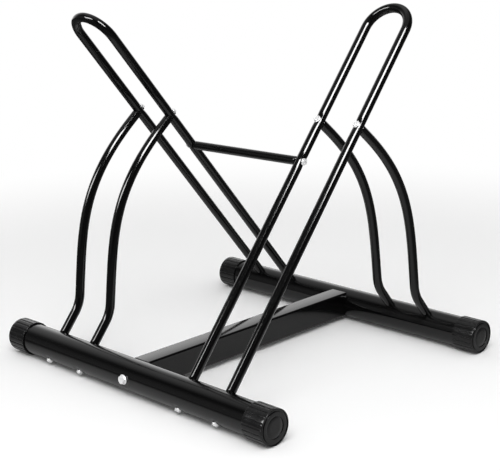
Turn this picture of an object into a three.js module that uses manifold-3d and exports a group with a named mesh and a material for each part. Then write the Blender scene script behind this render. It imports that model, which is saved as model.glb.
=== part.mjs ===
// A free-standing floor rack for two bicycles, bolted together from bent steel tube.
//
// Two thick base tubes lie side by side on the floor, joined by a rectangular bar. Each base
// tube carries a U-shaped wheel hoop that leans over towards the other tube. Two bent supports
// run from the legs of each hoop to the far base tube, and a thin crossbar ties the two hoops.
// The rack looks the same after half a turn about the vertical, so one half is built and repeated.
//
// Millimetres, +Z up, front towards -Y, origin on the floor at the middle of the rack.

import * as THREE from 'three';
import { mergeVertices } from 'three/addons/utils/BufferGeometryUtils.js';
import Module from 'manifold-3d';

const wasm = await Module();
wasm.setup();

// ---------------------------------------------------------------- driving dimensions

const BASE_SPACING = 488;          // between the axes of the two base tubes
const BASE_TUBE_RADIUS = 25;
const BASE_TUBE_WALL = 2;

const WHEEL_PITCH = 308;           // between the middle planes of the two hoops
const LEG_SPACING = 78;            // between the two legs of a hoop, axis to axis
const LEG_LENGTH = 642.5;          // along a leg from its foot to where the top bend starts
const LEG_LEAN = THREE.MathUtils.degToRad(39.5);   // from the vertical
const LEG_OFFSET = 3;              // leg axis passes this far outside the base tube axis
const LEG_RADIUS = 7.5;
const LEG_WALL = 1.5;

const CROSSBAR_STATION = 396;      // along the leg, from its foot
const CROSSBAR_RADIUS = 7;
const CROSSBAR_WALL = 1.4;

const SUPPORT_STATION = 468;       // along the leg, from its foot
const SUPPORT_RADIUS = 7.5;
const SUPPORT_WALL = 1.5;
const SUPPORT_LEAN = THREE.MathUtils.degToRad(6.7);   // of its lower run, from the vertical
const SUPPORT_BEND_RADIUS = 55;    // of the bend just above the foot
const SUPPORT_FOOT_STRAIGHT = 37.5;   // between that bend and the base tube
const SUPPORT_TOP_PULL = 0.48;     // how far the long sweep keeps its first direction,
const SUPPORT_FOOT_PULL = 0.36;    // and its last one, as shares of the span

const BAR_WIDTH = 35;
const BAR_HEIGHT = 42;
const BAR_WALL = 1.5;
const BAR_RAISE = 1.3;             // bar centre above the base tube axis

const LEG_TO_CAP = 60.5;           // from the outer leg axis to the mouth of the end cap
const CAP_LENGTH = 39;
const CAP_WALL = 2.3;              // of the sleeve, measured at the ribs' edges
const CAP_END = 5;                 // thickness of the closed end
const CAP_RIB_COUNT = 20;
const CAP_GROOVE_ANGLE = THREE.MathUtils.degToRad(6);   // across a groove between two ribs
const CAP_RIB_DEPTH = 0.8;
const CAP_RIM_LENGTH = 2;          // plain rim at the closed end
const CAP_RIM_STEP = 0.2;          // rim lies this far below the flats of the ribs
const CAP_CHAMFER = 1;
const CAP_RING_WIDTH = 10.5;         // raised ring round the end face
const CAP_RECESS = 0.5;

const PLUG_LENGTH = 17;            // threaded plugs pressed into the tube ends
const PLUG_SETBACK = 1.5;          // from the piece that the tube end sits on
const BOLT_PROUD = 1.5;            // bolt tip beyond its plug or nut
const BEND_CLEAR = 2;              // straight tube left beyond a plug

const NUT_PLATE_THICKNESS = 4;
const NUT_BOSS_RADIUS = 6.8;
const NUT_BOSS_LENGTH = 7;

const SEAT_DEPTH = 0.75;           // pressed flats under bolt heads on thin tubes
const BASE_SEAT_DEPTH = 0.8;       // and on the base tubes
const CLEARANCE = 0.3;             // between pieces that touch
const PRESS_GAP = 0.25;            // plug to the inside of its tube
const HOLE_CLEARANCE = 0.4;        // bolt to its hole through a tube wall

const SMALL_BOLT = { radius: 3, flangeRadius: 6, flangeThickness: 1.2, headWidth: 8, headHeight: 3.6 };
const BAR_BOLT = { radius: 4, flangeRadius: 8.2, flangeThickness: 1.6, headWidth: 12, headHeight: 4.8 };

// Sides of the polygons that stand for round outlines, and steps of the bends.
const SIDES = { baseOuter: 36, baseInner: 18, tubeOuter: 16, tubeInner: 8, cap: 28, cutter: 32, hole: 8, bolt: 10 };
const STEPS = { hoop: 16, sweep: 10, footBend: 4 };

// ---------------------------------------------------------------- worked-out sizes

const X = new THREE.Vector3(1, 0, 0);
const Y = new THREE.Vector3(0, 1, 0);
const Z = new THREE.Vector3(0, 0, 1);

const INNER_LEG_X = (WHEEL_PITCH - LEG_SPACING) / 2;
const OUTER_LEG_X = (WHEEL_PITCH + LEG_SPACING) / 2;
const CAP_MOUTH_X = OUTER_LEG_X + LEG_TO_CAP;
const CAP_BORE_RADIUS = BASE_TUBE_RADIUS + CLEARANCE;
const CAP_RADIUS = CAP_BORE_RADIUS + CAP_WALL;
const RIB_HALF_PITCH = Math.PI / CAP_RIB_COUNT;
const RIB_HALF_ANGLE = RIB_HALF_PITCH - CAP_GROOVE_ANGLE / 2;
// The rack stands on the flat of one rib of each cap.
const BASE_HEIGHT = CAP_RADIUS * Math.cos(RIB_HALF_ANGLE);
const BASE_TUBE_HALF = CAP_MOUTH_X + CAP_LENGTH - CAP_END - CLEARANCE;

const legUp = new THREE.Vector3(0, Math.sin(LEG_LEAN), Math.cos(LEG_LEAN));
const legBack = new THREE.Vector3(0, Math.cos(LEG_LEAN), -Math.sin(LEG_LEAN));
const halfTurn = point => new THREE.Vector3(-point.x, -point.y, point.z);

const frontAxis = new THREE.Vector3(0, -BASE_SPACING / 2, BASE_HEIGHT);
const frontFoot = frontAxis.clone().addScaledVector(legBack, -LEG_OFFSET);
const rearAxis = halfTurn(frontAxis);

// Points on the axis line of a front leg, and on the matching line at the rear base tube.
const onFrontLine = (x, along) => frontFoot.clone().addScaledVector(legUp, along).setX(x);
const onRearLine = (x, along) => halfTurn(onFrontLine(-x, along));

// ---------------------------------------------------------------- materials

const blackTube = new THREE.MeshStandardMaterial({ color: 0x0b0b0c, roughness: 0.22, metalness: 0.1 });
const blackPlastic = new THREE.MeshStandardMaterial({ color: 0x141414, roughness: 0.55, metalness: 0 });
const zinc = new THREE.MeshStandardMaterial({ color: 0xe2e3e4, roughness: 0.28, metalness: 1 });
const steel = new THREE.MeshStandardMaterial({ color: 0x9a9c9e, roughness: 0.45, metalness: 1 });

// ---------------------------------------------------------------- solids

// A closed geometry as a solid that can be joined and cut.
function toSolid(geometry) {
  const bare = geometry.clone();
  bare.deleteAttribute('normal');
  bare.deleteAttribute('uv');
  const merged = mergeVertices(bare, 1e-4);
  const corners = merged.index.array;
  const triVerts = [];
  for (let i = 0; i < corners.length; i += 3) {
    const [a, b, c] = corners.subarray(i, i + 3);
    if (a !== b && b !== c && c !== a) triVerts.push(a, b, c);
  }
  return new wasm.Manifold(new wasm.Mesh({
    numProp: 3,
    vertProperties: merged.attributes.position.array,
    triVerts: Uint32Array.from(triVerts),
  }));
}

function toMesh(name, solid, material) {
  const { vertProperties, triVerts } = solid.getMesh();
  const geometry = new THREE.BufferGeometry();
  geometry.setAttribute('position', new THREE.BufferAttribute(vertProperties, 3));
  geometry.setIndex(new THREE.BufferAttribute(triVerts, 1));
  geometry.computeVertexNormals();
  const mesh = new THREE.Mesh(geometry, material);
  mesh.name = name;
  return mesh;
}

const cutAll = (solid, cutters) => cutters.reduce((left, cutter) => left.subtract(cutter), solid);

// A polygon inside the circle, for the outside of a round piece.
function insideRing(radius, sides) {
  return Array.from({ length: sides }, (_, i) => {
    const angle = i / sides * 2 * Math.PI;
    return new THREE.Vector2(radius * Math.cos(angle), radius * Math.sin(angle));
  });
}

// A polygon round the circle, for a bore or a cutter.
const outsideRing = (radius, sides) => insideRing(radius / Math.cos(Math.PI / sides), sides);

function tubeSection(radius, innerRadius, sides, innerSides) {
  const section = new THREE.Shape(insideRing(radius, sides));
  section.holes.push(new THREE.Path(outsideRing(innerRadius, innerSides)));
  return section;
}

function rectangle(width, height) {
  const [x, y] = [width / 2, height / 2];
  return [[-x, -y], [x, -y], [x, y], [-x, y]].map(corner => new THREE.Vector2(...corner));
}

const extrude = (section, length) => new THREE.ExtrudeGeometry(section, { depth: length, bevelEnabled: false });

// A round bar between two points that clears a piece of the given radius.
function cutter(radius, from, to, sides = SIDES.cutter) {
  const along = to.clone().sub(from);
  const clear = radius / Math.cos(Math.PI / sides);
  const bar = new THREE.CylinderGeometry(clear, clear, along.length(), sides);
  bar.applyQuaternion(new THREE.Quaternion().setFromUnitVectors(Y, along.clone().normalize()));
  bar.translate(...from.clone().add(to).multiplyScalar(0.5));
  return toSolid(bar);
}

const boltHole = (bolt, from, to) => cutter(bolt.radius + HOLE_CLEARANCE, from, to, SIDES.hole);

// Room for a base tube at a saddle-cut tube end; the tube's axis runs through the point along X.
function baseTubeCutter(onAxis) {
  const reach = X.clone().multiplyScalar(CAP_MOUTH_X);
  return cutter(BASE_TUBE_RADIUS + CLEARANCE, onAxis.clone().sub(reach), onAxis.clone().add(reach));
}

// ---------------------------------------------------------------- tube paths

// A tube's centre line, drawn run by run, with one ring at each end of a straight
// and a ring at every step of a bend.
class TubePath extends THREE.Curve {
  constructor(start, direction) {
    super();
    this.rings = [{ point: start.clone(), tangent: direction.clone() }];
  }

  get end() {
    return this.rings[this.rings.length - 1];
  }

  get steps() {
    return this.rings.length - 1;
  }

  straight(length) {
    const { point, tangent } = this.end;
    this.rings.push({ point: point.clone().addScaledVector(tangent, length), tangent: tangent.clone() });
    return this;
  }

  bend(radius, axis, angle, steps) {
    const { point, tangent } = this.end;
    const inward = axis.clone().cross(tangent);
    const centre = point.clone().addScaledVector(inward, radius);
    for (let i = 1; i <= steps; i++) {
      const turn = angle * i / steps;
      this.rings.push({
        point: centre.clone().addScaledVector(inward.clone().applyAxisAngle(axis, turn), -radius),
        tangent: tangent.clone().applyAxisAngle(axis, turn),
      });
    }
    return this;
  }

  sweep(curve, steps) {
    for (let i = 1; i <= steps; i++) {
      this.rings.push({ point: curve.getPoint(i / steps), tangent: curve.getTangent(i / steps) });
    }
    return this;
  }

  getPointAt(u, target = new THREE.Vector3()) {
    return target.copy(this.rings[Math.round(u * this.steps)].point);
  }

  getTangentAt(u, target = new THREE.Vector3()) {
    return target.copy(this.rings[Math.round(u * this.steps)].tangent);
  }

  tube(radius, wall) {
    const section = tubeSection(radius, radius - wall, SIDES.tubeOuter, SIDES.tubeInner);
    return toSolid(new THREE.ExtrudeGeometry(section, { steps: this.steps, extrudePath: this }));
  }
}

// ---------------------------------------------------------------- fasteners

// A flanged hexagon bolt along +Z: the flange's underside at 0, the head below, the shank above.
function boltSolid(bolt, shankLength) {
  const profile = [
    [0, -bolt.flangeThickness],
    [bolt.headWidth / 2, -bolt.flangeThickness],
    [bolt.flangeRadius, -bolt.flangeThickness / 2],
    [bolt.flangeRadius, 0],
    [bolt.radius, 0],
    [bolt.radius, shankLength],
    [0, shankLength],
  ];
  const turned = new THREE.LatheGeometry(profile.map(point => new THREE.Vector2(...point)), SIDES.bolt);
  turned.rotateX(Math.PI / 2);
  const hexagon = extrude(new THREE.Shape(outsideRing(bolt.headWidth / 2, 6)), bolt.headHeight);
  hexagon.translate(0, 0, -bolt.headHeight - bolt.flangeThickness / 4);
  return toSolid(turned).add(toSolid(hexagon));
}

// A threaded plug along +Z for a tube of the given inner radius.
function plugSolid(tubeInnerRadius) {
  const boreRadius = SMALL_BOLT.radius + CLEARANCE;
  const section = tubeSection(tubeInnerRadius - PRESS_GAP, boreRadius, SIDES.tubeOuter, SIDES.hole);
  return toSolid(extrude(section, PLUG_LENGTH));
}

// Stands a piece that was made along +Z at a point, facing a direction.
function place(mesh, at, direction) {
  mesh.position.copy(at);
  mesh.quaternion.setFromUnitVectors(Z, direction);
  return mesh;
}

// A bolt and the plug that it is screwed into. The joint is a point on the axis of the piece that
// the bolt goes through; headAt and tubeFrom are the distances of the bolt's seat and of that
// piece's surface from the joint, on the two sides.
function boltedJoint(name, joint, direction, headAt, tubeFrom, tubeInnerRadius) {
  const plugStart = tubeFrom + PLUG_SETBACK;
  const shankLength = headAt + plugStart + PLUG_LENGTH + BOLT_PROUD;
  const bolt = toMesh(`${name}_bolt`, boltSolid(SMALL_BOLT, shankLength), zinc);
  const plug = toMesh(`${name}_plug`, plugSolid(tubeInnerRadius), steel);
  return [
    place(bolt, joint.clone().addScaledVector(direction, -headAt), direction),
    place(plug, joint.clone().addScaledVector(direction, plugStart), direction),
  ];
}

// Holes and the pressed flat that a bolt needs in a tube that it crosses at the joint.
function crossingCuts(bolt, joint, direction, tubeRadius, seatDepth) {
  const at = distance => joint.clone().addScaledVector(direction, distance);
  const flat = tubeRadius - seatDepth;
  const through = 2 * tubeRadius;
  const seat = cutter(bolt.flangeRadius + CLEARANCE, at(-flat - tubeRadius), at(-flat), SIDES.tubeOuter);
  return [boltHole(bolt, at(-through), at(through)), seat];
}

const legCuts = (joint, direction) => crossingCuts(SMALL_BOLT, joint, direction, LEG_RADIUS, SEAT_DEPTH);
const baseCuts = (bolt, joint, direction) => (
  crossingCuts(bolt, joint, direction, BASE_TUBE_RADIUS, BASE_SEAT_DEPTH)
);

// From a joint to the underside of the head that sits there.
const LEG_HEAD = LEG_RADIUS - SEAT_DEPTH + CLEARANCE;
const BASE_HEAD = BASE_TUBE_RADIUS - BASE_SEAT_DEPTH + CLEARANCE;

// ---------------------------------------------------------------- base tube and its end caps

// Where tubes are bolted to a base tube: its own hoop's legs, and the other hoop's supports.
const FOOT_STATIONS = [-OUTER_LEG_X, -INNER_LEG_X, INNER_LEG_X, OUTER_LEG_X];

function baseTube(name) {
  const section = tubeSection(BASE_TUBE_RADIUS, BASE_TUBE_RADIUS - BASE_TUBE_WALL, SIDES.baseOuter, SIDES.baseInner);
  const tube = extrude(section, 2 * BASE_TUBE_HALF);
  tube.translate(0, 0, -BASE_TUBE_HALF);
  tube.rotateY(Math.PI / 2);
  tube.translate(...frontAxis);
  const footCuts = FOOT_STATIONS.flatMap(x => baseCuts(SMALL_BOLT, onFrontLine(x, 0), legUp));
  const barCuts = baseCuts(BAR_BOLT, frontAxis.clone().addScaledVector(Z, BAR_RAISE), Y);
  return toMesh(name, cutAll(toSolid(tube), [...footCuts, ...barCuts]), blackTube);
}

// The ribbed sleeve's outline: flat-topped ribs with a V groove after each.
function ribOutline() {
  const grooveRadius = CAP_RADIUS - CAP_RIB_DEPTH;
  const points = [];
  for (let rib = 0; rib < CAP_RIB_COUNT; rib++) {
    const angle = rib / CAP_RIB_COUNT * 2 * Math.PI;
    const corners = [[-RIB_HALF_ANGLE, CAP_RADIUS], [RIB_HALF_ANGLE, CAP_RADIUS], [RIB_HALF_PITCH, grooveRadius]];
    for (const [turn, radius] of corners) {
      points.push(new THREE.Vector2(radius * Math.cos(angle + turn), radius * Math.sin(angle + turn)));
    }
  }
  return new THREE.Shape(points);
}

// An end cap along +Z: the mouth at 0, the closed end at the cap's length.
function endCap(name) {
  const ribLength = CAP_LENGTH - CAP_RIM_LENGTH;
  const grooveRadius = CAP_RADIUS - CAP_RIB_DEPTH;
  const rimRadius = BASE_HEIGHT - CAP_RIM_STEP;
  const ringRadius = rimRadius - CAP_RING_WIDTH;
  const rimProfile = [
    [0, ribLength - CAP_RIM_LENGTH],
    [grooveRadius, ribLength - CAP_RIM_LENGTH],
    [grooveRadius, ribLength],
    [rimRadius, ribLength],
    [rimRadius, CAP_LENGTH - CAP_CHAMFER],
    [rimRadius - CAP_CHAMFER, CAP_LENGTH],
    [ringRadius, CAP_LENGTH],
    [ringRadius - CAP_RECESS, CAP_LENGTH - CAP_RECESS],
    [0, CAP_LENGTH - CAP_RECESS],
  ];
  const rim = new THREE.LatheGeometry(rimProfile.map(point => new THREE.Vector2(...point)), SIDES.cap);
  rim.rotateX(Math.PI / 2);
  const bore = cutter(
    CAP_BORE_RADIUS,
    new THREE.Vector3(0, 0, -CAP_LENGTH),
    new THREE.Vector3(0, 0, CAP_LENGTH - CAP_END),
    SIDES.cap,
  );
  const cap = toSolid(extrude(ribOutline(), ribLength)).add(toSolid(rim)).subtract(bore);
  return toMesh(name, cap, blackPlastic);
}

// ---------------------------------------------------------------- connecting bar

function connectingBar() {
  const section = new THREE.Shape(rectangle(BAR_WIDTH, BAR_HEIGHT));
  section.holes.push(new THREE.Path(rectangle(BAR_WIDTH - 2 * BAR_WALL, BAR_HEIGHT - 2 * BAR_WALL)));
  const bar = extrude(section, BASE_SPACING);
  bar.translate(0, 0, -BASE_SPACING / 2);
  bar.rotateX(Math.PI / 2);
  bar.translate(0, 0, BASE_HEIGHT + BAR_RAISE);
  const solid = cutAll(toSolid(bar), [baseTubeCutter(frontAxis), baseTubeCutter(rearAxis)]);
  return toMesh('connecting_bar', solid, blackTube);
}

// The nut plate inside the bar's end, along +Z: its face at 0 and the threaded boss behind it.
function nutPlate(name) {
  const room = 2 * (BAR_WALL + CLEARANCE);
  const plate = extrude(new THREE.Shape(rectangle(BAR_WIDTH - room, BAR_HEIGHT - room)), NUT_PLATE_THICKNESS);
  const boss = new THREE.CylinderGeometry(NUT_BOSS_RADIUS, NUT_BOSS_RADIUS, NUT_BOSS_LENGTH, SIDES.bolt);
  boss.rotateX(Math.PI / 2);
  boss.translate(0, 0, NUT_BOSS_LENGTH / 2 + NUT_PLATE_THICKNESS / 2);
  const deep = NUT_PLATE_THICKNESS + NUT_BOSS_LENGTH;
  const bore = cutter(
    BAR_BOLT.radius + CLEARANCE,
    new THREE.Vector3(0, 0, -deep),
    new THREE.Vector3(0, 0, 2 * deep),
    SIDES.hole,
  );
  return toMesh(name, toSolid(plate).add(toSolid(boss)).subtract(bore), steel);
}

function barJoint(prefix) {
  const plateAt = BASE_TUBE_RADIUS + PLUG_SETBACK;
  const line = frontAxis.clone().addScaledVector(Z, BAR_RAISE);
  const nutEnd = plateAt + NUT_PLATE_THICKNESS / 2 + NUT_BOSS_LENGTH;
  const bolt = toMesh(`${prefix}_bar_bolt`, boltSolid(BAR_BOLT, BASE_HEAD + nutEnd + BOLT_PROUD), zinc);
  return [
    place(bolt, line.clone().addScaledVector(Y, -BASE_HEAD), Y),
    place(nutPlate(`${prefix}_bar_nut_plate`), line.clone().addScaledVector(Y, plateAt), Y),
  ];
}

// ---------------------------------------------------------------- hoop, supports and crossbar

// The crossbar ties the inner legs of the two hoops, so it runs a little askew.
const crossbarEnd = onFrontLine(INNER_LEG_X, CROSSBAR_STATION);
const crossbarInward = halfTurn(crossbarEnd).sub(crossbarEnd).normalize();

function hoop(name) {
  const path = new TubePath(onFrontLine(INNER_LEG_X, BASE_TUBE_RADIUS / 2), legUp)
    .straight(LEG_LENGTH - BASE_TUBE_RADIUS / 2)
    .bend(LEG_SPACING / 2, legBack, Math.PI, STEPS.hoop)
    .straight(LEG_LENGTH - BASE_TUBE_RADIUS / 2);
  const cuts = [
    baseTubeCutter(frontAxis),
    ...legCuts(onFrontLine(INNER_LEG_X, SUPPORT_STATION), legBack),
    ...legCuts(onFrontLine(OUTER_LEG_X, SUPPORT_STATION), legBack),
    ...legCuts(crossbarEnd, crossbarInward),
  ];
  return toMesh(name, cutAll(path.tube(LEG_RADIUS, LEG_WALL), cuts), blackTube);
}

// From the back of a leg, in one long sweep and a bend, to the far base tube.
function support(name, x) {
  const top = onFrontLine(x, SUPPORT_STATION);
  const topStraight = LEG_RADIUS + PLUG_SETBACK + PLUG_LENGTH + BEND_CLEAR;
  const bendAngle = LEG_LEAN - SUPPORT_LEAN;
  const cornerToBend = SUPPORT_BEND_RADIUS * Math.tan(bendAngle / 2);
  const lowerRun = new THREE.Vector3(0, Math.sin(SUPPORT_LEAN), -Math.cos(SUPPORT_LEAN));
  const corner = onRearLine(x, BASE_TUBE_RADIUS + SUPPORT_FOOT_STRAIGHT + cornerToBend);

  const sweepStart = top.clone().addScaledVector(legBack, topStraight);
  const sweepEnd = corner.clone().addScaledVector(lowerRun, -cornerToBend);
  const span = sweepStart.distanceTo(sweepEnd);
  const sweep = new THREE.CubicBezierCurve3(
    sweepStart,
    sweepStart.clone().addScaledVector(legBack, SUPPORT_TOP_PULL * span),
    sweepEnd.clone().addScaledVector(lowerRun, -SUPPORT_FOOT_PULL * span),
    sweepEnd,
  );
  const path = new TubePath(top, legBack)
    .straight(topStraight)
    .sweep(sweep, STEPS.sweep)
    .bend(SUPPORT_BEND_RADIUS, X, bendAngle, STEPS.footBend)
    .straight(SUPPORT_FOOT_STRAIGHT + BASE_TUBE_RADIUS / 2);

  const leg = cutter(LEG_RADIUS + CLEARANCE, onFrontLine(x, 0), onFrontLine(x, LEG_LENGTH), SIDES.tubeOuter);
  return toMesh(name, cutAll(path.tube(SUPPORT_RADIUS, SUPPORT_WALL), [leg, baseTubeCutter(rearAxis)]), blackTube);
}

function crossbar() {
  const otherEnd = halfTurn(crossbarEnd);
  const path = new TubePath(crossbarEnd, crossbarInward).straight(crossbarEnd.distanceTo(otherEnd));
  const legFrom = onFrontLine(INNER_LEG_X, 0);
  const legTo = onFrontLine(INNER_LEG_X, LEG_LENGTH);
  const legs = [
    cutter(LEG_RADIUS + CLEARANCE, legFrom, legTo, SIDES.tubeOuter),
    cutter(LEG_RADIUS + CLEARANCE, halfTurn(legFrom), halfTurn(legTo), SIDES.tubeOuter),
  ];
  return toMesh('crossbar', cutAll(path.tube(CROSSBAR_RADIUS, CROSSBAR_WALL), legs), blackTube);
}

// ---------------------------------------------------------------- assembly

// One half: a base tube with its caps, its hoop, and the hoop's supports to the far base tube.
function rackHalf(prefix, plusSide, minusSide) {
  const half = new THREE.Group();
  half.add(baseTube(`${prefix}_base_tube`), hoop(`${prefix}_hoop`));

  const capMouth = new THREE.Vector3(CAP_MOUTH_X, frontAxis.y, frontAxis.z);
  half.add(place(endCap(`${prefix}_${plusSide}_end_cap`), capMouth, X));
  capMouth.setX(-CAP_MOUTH_X);
  half.add(place(endCap(`${prefix}_${minusSide}_end_cap`), capMouth, X.clone().negate()));

  const legBore = LEG_RADIUS - LEG_WALL;
  const supportBore = SUPPORT_RADIUS - SUPPORT_WALL;
  const rearUp = halfTurn(legUp);
  for (const [side, x] of [['inner', INNER_LEG_X], ['outer', OUTER_LEG_X]]) {
    const leg = `${prefix}_${side}`;
    const joint = onFrontLine(x, SUPPORT_STATION);
    half.add(support(`${leg}_support`, x));
    half.add(...boltedJoint(`${leg}_leg_foot`, onFrontLine(x, 0), legUp, BASE_HEAD, BASE_TUBE_RADIUS, legBore));
    half.add(...boltedJoint(`${leg}_support_top`, joint, legBack, LEG_HEAD, LEG_RADIUS, supportBore));
    half.add(...boltedJoint(
      `${leg}_support_foot`, onRearLine(x, 0), rearUp, BASE_HEAD, BASE_TUBE_RADIUS, supportBore,
    ));
  }
  const crossbarBore = CROSSBAR_RADIUS - CROSSBAR_WALL;
  half.add(...boltedJoint(
    `${prefix}_crossbar`, crossbarEnd, crossbarInward, LEG_HEAD, LEG_RADIUS, crossbarBore,
  ));
  half.add(...barJoint(prefix));
  return half;
}

const rack = new THREE.Group();
rack.add(rackHalf('front', 'right', 'left'));
const rear = rackHalf('rear', 'left', 'right');
rear.rotation.z = Math.PI;
rack.add(rear, connectingBar(), crossbar());

export default rack;
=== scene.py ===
"""Floor rack for two bicycles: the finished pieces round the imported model, and a plain studio.

Each operator makes one kind of piece. Everything is in metres, in the rack's own frame: +X along
the base tubes, +Y from the front base tube to the rear one, +Z up, the floor at 0. The rear half
is the front half after half a turn about the vertical.
"""

import math

import bpy
from bpy.props import FloatProperty, FloatVectorProperty, IntProperty, PointerProperty
from mathutils import Matrix, Vector


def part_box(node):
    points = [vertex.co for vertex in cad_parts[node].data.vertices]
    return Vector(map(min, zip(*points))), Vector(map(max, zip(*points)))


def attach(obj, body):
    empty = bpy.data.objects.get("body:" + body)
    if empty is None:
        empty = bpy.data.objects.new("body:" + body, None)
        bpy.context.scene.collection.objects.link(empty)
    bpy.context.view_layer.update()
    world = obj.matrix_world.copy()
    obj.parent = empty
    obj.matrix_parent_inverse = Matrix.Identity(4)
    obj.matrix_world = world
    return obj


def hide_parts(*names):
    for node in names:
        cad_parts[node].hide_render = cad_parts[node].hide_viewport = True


bl_info = {
    "name": "Floor bike rack",
    "version": (1, 0, 0),
    "blender": (4, 5, 0),
    "location": "3D View > Sidebar > Rack",
    "description": "Builds a bolted tube rack for two bicycles and a plain studio round it",
    "category": "Add Mesh",
}

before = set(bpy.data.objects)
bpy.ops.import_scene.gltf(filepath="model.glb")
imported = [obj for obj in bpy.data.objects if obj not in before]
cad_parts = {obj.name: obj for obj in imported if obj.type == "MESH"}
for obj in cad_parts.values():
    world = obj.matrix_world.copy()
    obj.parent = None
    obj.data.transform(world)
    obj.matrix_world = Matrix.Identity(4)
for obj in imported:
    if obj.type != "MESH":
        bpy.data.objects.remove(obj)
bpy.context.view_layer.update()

MM = 0.001
X, Y, Z = Vector((1, 0, 0)), Vector((0, 1, 0)), Vector((0, 0, 1))
HALF_TURN = Matrix.Rotation(math.pi, 4, "Z")
HALVES = (("front", Matrix.Identity(4)), ("rear", HALF_TURN))


# ---------------- places read from the frame


def middle(node):
    """The centre of a node's box."""
    low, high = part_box(node)
    return (low + high) / 2


def extent(node):
    """A node's size along each axis."""
    low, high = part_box(node)
    return high - low


BASE_RADIUS = extent("front_base_tube").z / 2
BASE_LENGTH = extent("front_base_tube").x
FRONT_AXIS = middle("front_base_tube").copy()
FRONT_AXIS.x = 0
REAR_AXIS = HALF_TURN @ FRONT_AXIS
LEG_RADIUS = extent("front_inner_support").x / 2
INNER_X = middle("front_inner_support").x
OUTER_X = middle("front_outer_support").x
CROSSBAR_RADIUS = extent("crossbar").z / 2
BAR_WIDTH = extent("connecting_bar").x
BAR_HEIGHT = extent("connecting_bar").z
BAR_CENTRE = middle("connecting_bar")
CAP_LENGTH = extent("front_right_end_cap").x
CAP_RADIUS = extent("front_right_end_cap").z / 2
CAP_MOUTH_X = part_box("front_right_end_cap")[0].x
SMALL_FLANGE_RADIUS = extent("front_inner_leg_foot_bolt").x / 2
BAR_FLANGE_RADIUS = extent("front_bar_bolt").x / 2


# ---------------- sizes and colours


def length(name, description, millimetres):
    """A length that the user can change."""
    return FloatProperty(
        name=name, description=description, default=millimetres * MM, min=0, precision=5,
        subtype="DISTANCE", unit="LENGTH",
    )


def colour(name, description, rgb):
    """A colour that the user can change."""
    return FloatVectorProperty(
        name=name, description=description, default=rgb, size=3, min=0, max=1, subtype="COLOR",
    )


def share(name, description, value):
    """A number from 0 to 1 that the user can change."""
    return FloatProperty(
        name=name, description=description, default=value, min=0, max=1, subtype="FACTOR",
    )


def level(name, description, value):
    """A brightness or another plain number that the user can change."""
    return FloatProperty(name=name, description=description, default=value, min=0)


def degrees(name, description, value):
    """An angle that the user can change."""
    return FloatProperty(
        name=name, description=description, default=math.radians(value), subtype="ANGLE", unit="ROTATION",
    )


def whole_number(name, description, value, least):
    """A whole number that the user can change."""
    return IntProperty(name=name, description=description, default=value, min=least)


class RackTubeSizes(bpy.types.PropertyGroup):
    """Sizes of the tubes and of the joints between them."""

    leg_lean: degrees("Leg lean", "Lean of the hoop legs from the vertical", 39.5)
    leg_offset: length("Leg offset", "How far the leg axis passes outside the base tube axis", 3)
    leg_length: length("Leg length", "From the foot of a leg to the start of the top bend", 642.5)
    support_station: length("Support station", "From the foot of a leg to its support", 468)
    crossbar_station: length("Crossbar station", "From the foot of a leg to the crossbar", 396)
    support_lean: degrees("Support lean", "Lean of the lower run of a support from the vertical", 6.7)
    support_top_straight: length("Support top straight", "Straight tube behind the leg", 28)
    support_foot_straight: length("Support foot straight", "Straight tube above the base tube", 37.5)
    support_bend_radius: length("Support bend radius", "Of the bend just above the foot", 55)
    support_top_pull: share("Support top pull", "How far the sweep keeps its first direction", 0.48)
    support_foot_pull: share("Support foot pull", "How far the sweep keeps its last direction", 0.36)
    thin_wall: length("Thin wall", "Wall of the hoop, support and crossbar tubes", 1.5)
    base_wall: length("Base wall", "Wall of the base tubes", 2)
    bar_wall: length("Bar wall", "Wall of the connecting bar", 1.5)
    bar_corner: length("Bar corner", "Corner radius of the connecting bar", 3)
    gap: length("Gap", "Clearance between pieces that touch", 0.3)
    dent_depth: length("Dent depth", "How deep a bolt head presses into a thin tube", 0.75)
    dent_seat: length("Dent seat", "Radius of a dent's flat middle", 4)
    dent_reach: length("Dent reach", "How far a pressed dent runs along its tube", 13)
    base_dent: length("Base dent", "How deep a bolt head presses into a base tube", 0.8)
    sides: whole_number("Sides", "Faces round a thin tube", 48, least=8)
    base_sides: whole_number("Base sides", "Faces round a base tube", 112, least=8)


class RackCapSizes(bpy.types.PropertyGroup):
    """Sizes of the end caps."""

    rib_count: whole_number("Ribs", "Ribs round a cap", 20, least=3)
    groove_width: length("Groove width", "Width of the groove between two ribs", 2.4)
    groove_depth: length("Groove depth", "Depth of the groove between two ribs", 0.8)
    rim_length: length("Rim length", "Plain rim at the closed end", 1.2)
    rim_step: length("Rim step", "How far the rim lies below the ribs", 0.2)
    rim_round: length("Rim round", "Radius of the rim's outer edge", 0.9)
    channel_outer: length("Channel outer radius", "Of the channel round the end face", 25.3)
    channel_inner: length("Channel inner radius", "Of the channel round the end face", 23)
    channel_depth: length("Channel depth", "Depth of the channel round the end face", 1.3)
    disc_radius: length("Disc radius", "Radius of the sunk disc in the end face", 16.5)
    disc_depth: length("Disc depth", "Depth of the sunk disc in the end face", 0.5)
    end_thickness: length("End thickness", "Thickness of the closed end", 5)
    mouth_chamfer: length("Mouth chamfer", "Chamfer round the open end", 0.6)


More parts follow.
